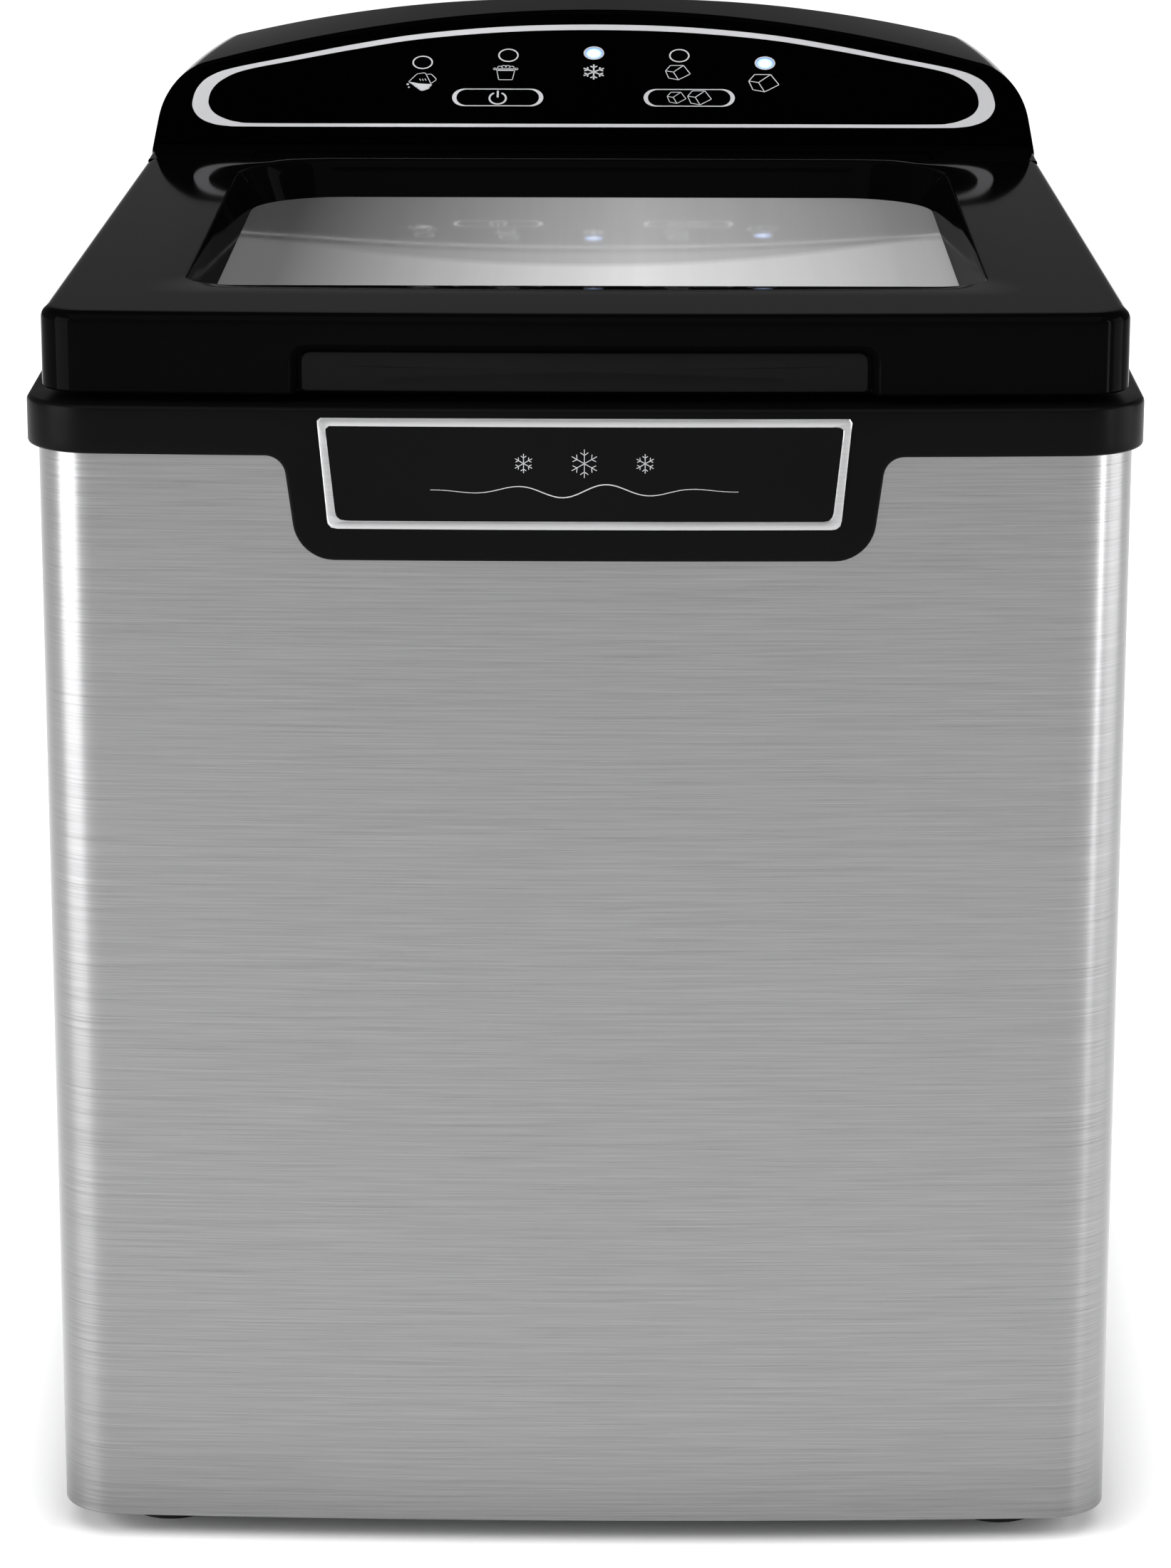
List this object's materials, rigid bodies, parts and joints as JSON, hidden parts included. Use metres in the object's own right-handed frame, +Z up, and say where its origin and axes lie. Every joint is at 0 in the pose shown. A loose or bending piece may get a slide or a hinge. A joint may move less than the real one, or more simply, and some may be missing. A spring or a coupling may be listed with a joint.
{
  "type": "countertop ice maker",
  "caption": "Countertop ice maker: steel skin, black lid with window, sloped control panel, ice basket, tilting tray with freezing fingers, compressor and fan.",
  "frame": {"origin": "on the floor under the middle of the plan outline", "axes": "+Z up, front faces -Y, +X to the viewer's right"},
  "size_m": [0.242, 0.356, 0.3121],
  "materials": {
    "brushed_steel_skin": "fine horizontal brushing",
    "gloss_black_lid": "polished black moulding",
    "satin_black_rim": "semi-gloss black moulding",
    "gloss_black_panel": "polished black panel",
    "smoked_window": "silvered translucent pane",
    "bright_frame": "brushed bright band",
    "black_moulding": "fine textured black moulding",
    "black_rubber": "matt rubber",
    "white_liner": "smooth white food-safe moulding",
    "pale_foam": "closed-cell foam",
    "clear_grey_basket": "translucent grey moulding",
    "bright_nickel": "nickel plating",
    "plain_aluminium": "mill finish sheet",
    "tube_copper": "drawn copper tube",
    "black_enamel": "baked black enamel",
    "zinc_steel": "zinc-plated steel",
    "stainless_pin": "ground stainless steel",
    "board_green": "solder-masked board",
    "switch_black": "switch body",
    "ribbon_grey": "flat ribbon",
    "light_pipe_clear": "clear light pipe",
    "light_pipe_lit": "lit light pipe",
    "soft_hose": "silicone hose"
  },
  "bodies": {
    "casing": {"badge_frame": "bright_frame", "badge_plate": "gloss_black_panel", "base_pan": "black_moulding", "basket_full_light": "light_pipe_clear", "bay_divider": "zinc_steel", "body_wrap": "brushed_steel_skin", "compressor": "black_enamel", "compressor_bolts": "zinc_steel", "compressor_grommets": "black_rubber", "condenser_fins": "plain_aluminium", "condenser_tubes": "tube_copper", "control_housing": "gloss_black_lid", "control_overlay": "gloss_black_panel", "cover_screws": "zinc_steel", "display_board": "board_green", "display_cable": "ribbon_grey", "drain_port": "black_moulding", "evaporator_bracket": "white_liner", "evaporator_plate": "bright_nickel", "fan_motor": "black_moulding", "fan_shroud": "black_moulding", "filter_drier": "tube_copper", "freezing_fingers": "bright_nickel", "hot_gas_valve": "zinc_steel", "ice_full_sensors": "switch_black", "ice_grid": "white_liner", "inner_liner": "white_liner", "large_ice_light": "light_pipe_lit", "lid_hinge_pins": "stainless_pin", "liner_insulation": "pale_foam", "main_control_board": "board_green", "making_light": "light_pipe_lit", "power_gland": "black_moulding", "pump_hose": "soft_hose", "rear_cover": "black_enamel", "refrigerant_lines": "tube_copper", "rubber_feet": "black_rubber", "small_ice_light": "light_pipe_clear", "tact_switches": "switch_black", "terminal_cover": "black_moulding", "top_rim": "satin_black_rim", "tray_bush": "white_liner", "tray_motor": "black_moulding", "tray_switches": "switch_black", "water_low_light": "light_pipe_clear", "water_pump": "black_moulding", "water_spout": "white_liner"},
    "lid": {"lid_frame": "gloss_black_lid", "lid_window": "smoked_window", "lid_inner_frame": "black_moulding", "lid_seal": "black_rubber"},
    "power_key": {"power_button": "gloss_black_panel"},
    "size_key": {"size_button": "gloss_black_panel"},
    "tray": {"water_tray": "white_liner", "tray_shovel": "white_liner", "tray_shafts": "stainless_pin"},
    "fan": {"fan_blades": "black_moulding"},
    "basket": {"ice_basket": "clear_grey_basket"},
    "drain_stopper": {"drain_plug": "black_rubber"}
  },
  "joints": [
    {"name": "lid_hinge", "type": "hinge", "parent": "casing", "child": "lid", "pos_m": [0, 0.0655, 0.2756], "axis": [-1, 0, 0], "range_deg": [0, 80]},
    {"name": "power_button_press", "type": "slide", "parent": "casing", "child": "power_key", "axis": [0, 0.5373, -0.8434], "range_m": [0, 0.0006], "stiffness_N_per_m": 400, "springref_m": -0.0004},
    {"name": "size_button_press", "type": "slide", "parent": "casing", "child": "size_key", "axis": [0, 0.5373, -0.8434], "range_m": [0, 0.0006], "stiffness_N_per_m": 400, "springref_m": -0.0004},
    {"name": "tray_tilt", "type": "hinge", "parent": "casing", "child": "tray", "pos_m": [0, 0.0298, 0.204], "axis": [1, 0, 0], "range_deg": [0, 80]},
    {"name": "fan_spin", "type": "hinge", "parent": "casing", "child": "fan", "pos_m": [0.084, 0.1204, 0.062], "axis": [1, 0, 0], "continuous": true},
    {"name": "basket_lift", "type": "slide", "parent": "casing", "child": "basket", "axis": [0, 0, 1], "range_m": [0, 0.08]},
    {"name": "drain_plug_pull", "type": "slide", "parent": "casing", "child": "drain_stopper", "axis": [-1, 0, 0], "range_m": [0, 0.02]}
  ]
}
